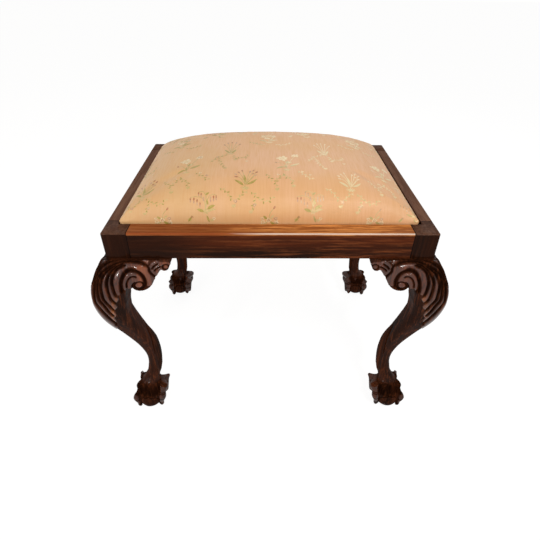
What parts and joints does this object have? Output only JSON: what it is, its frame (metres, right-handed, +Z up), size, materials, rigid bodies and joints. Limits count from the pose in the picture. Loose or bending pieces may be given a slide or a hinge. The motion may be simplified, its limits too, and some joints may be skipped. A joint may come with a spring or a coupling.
{
  "type": "upholstered stool",
  "caption": "Carved wooden stool with cabriole legs, ball and claw feet and a drop-in upholstered seat that lifts out.",
  "frame": {"origin": "on the floor under the middle of the stool", "axes": "+X along the front to the right, +Y from front to back, +Z up"},
  "size_m": [0.6272, 0.4932, 0.517],
  "materials": {
    "mahogany": "polished, dark red-brown, worn lighter on the front rail",
    "beech": "plain sawn",
    "block_wood": "plain sawn, aged",
    "steel": "blued, dull",
    "webbing": "woven jute",
    "hessian": "coarse woven jute",
    "horsehair": "curled hair pad",
    "calico": "unbleached plain weave",
    "wadding": "cotton felt",
    "silk": "peach silk brocade with woven flower sprigs"
  },
  "bodies": {
    "stool_frame": {"back_left_corner_block": "block_wood", "back_left_leg": "mahogany", "back_left_long_bracket": "mahogany", "back_left_side_bracket": "mahogany", "back_rail": "mahogany", "back_right_corner_block": "block_wood", "back_right_leg": "mahogany", "back_right_long_bracket": "mahogany", "back_right_side_bracket": "mahogany", "corner_block_screws": "steel", "front_left_corner_block": "block_wood", "front_left_leg": "mahogany", "front_left_long_bracket": "mahogany", "front_left_side_bracket": "mahogany", "front_rail": "mahogany", "front_right_corner_block": "block_wood", "front_right_leg": "mahogany", "front_right_long_bracket": "mahogany", "front_right_side_bracket": "mahogany", "left_rail": "mahogany", "right_rail": "mahogany"},
    "drop_in_seat": {"calico": "calico", "cover_tacks": "steel", "hessian": "hessian", "horsehair_stuffing": "horsehair", "seat_frame_back": "beech", "seat_frame_front": "beech", "seat_frame_left": "beech", "seat_frame_right": "beech", "top_cover": "silk", "wadding": "wadding", "webbing_cross_1": "webbing", "webbing_cross_2": "webbing", "webbing_cross_3": "webbing", "webbing_cross_4": "webbing", "webbing_long_1": "webbing", "webbing_long_2": "webbing", "webbing_long_3": "webbing", "webbing_tacks": "steel"}
  },
  "joints": [
    {"name": "seat_lift", "type": "slide", "parent": "stool_frame", "child": "drop_in_seat", "axis": [0, 0, 1], "range_m": [0, 0.12]}
  ]
}
